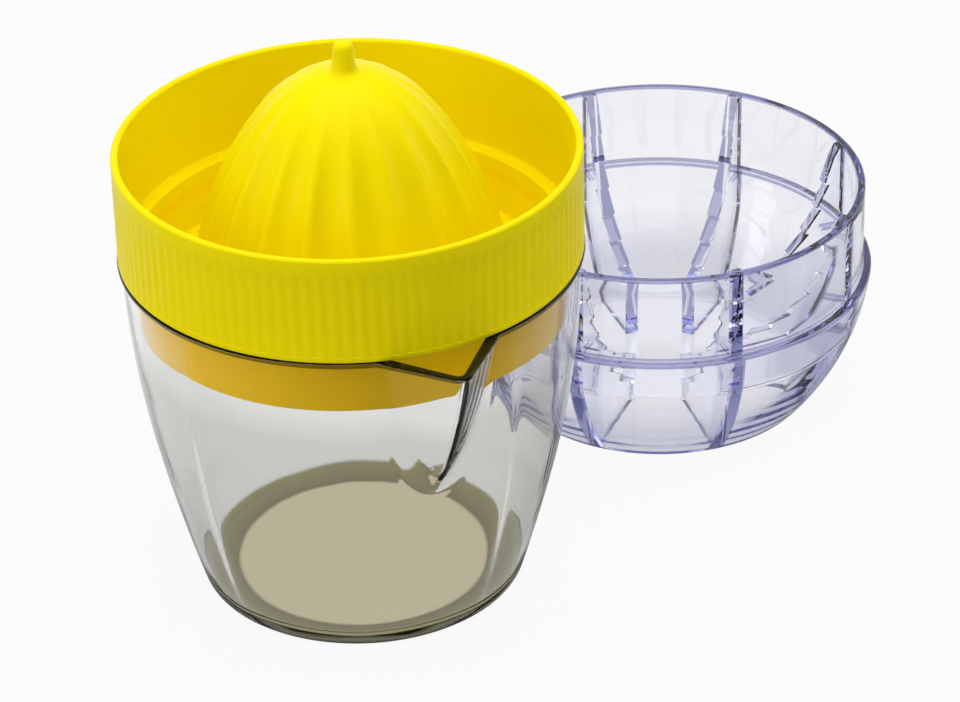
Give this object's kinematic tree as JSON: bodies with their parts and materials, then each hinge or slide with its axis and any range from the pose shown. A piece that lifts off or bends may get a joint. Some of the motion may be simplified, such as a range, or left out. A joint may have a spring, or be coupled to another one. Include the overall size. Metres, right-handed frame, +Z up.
{
  "type": "hand citrus squeezer",
  "caption": "Clear pouring jug with a yellow fluted reamer tray plugged in its mouth and a clear finned press lid, taken off, for squeezing halved citrus by hand.",
  "frame": {"origin": "centre of the jug's foot, on the table", "axes": "+Z up along the jug's axis, the pouring lip towards -Y"},
  "size_m": [0.2025, 0.1602, 0.1346],
  "materials": {
    "jug_clear": "clear polished moulding, very slightly grey",
    "tray_yellow": "satin-gloss moulded lemon yellow",
    "lid_clear": "clear polished moulding with a violet-blue tint at its edges"
  },
  "bodies": {
    "jug": {"jug": "jug_clear"},
    "tray": {"reamer_tray": "tray_yellow"},
    "lid": {"press_lid": "lid_clear"}
  },
  "joints": [
    {"name": "tray_lift", "type": "slide", "parent": "jug", "child": "tray", "axis": [0, 0, 1], "range_m": [0, 0.06]},
    {"name": "lid_lift", "type": "slide", "parent": "jug", "child": "lid", "axis": [0, 0, 1], "range_m": [0, 0.12]}
  ]
}
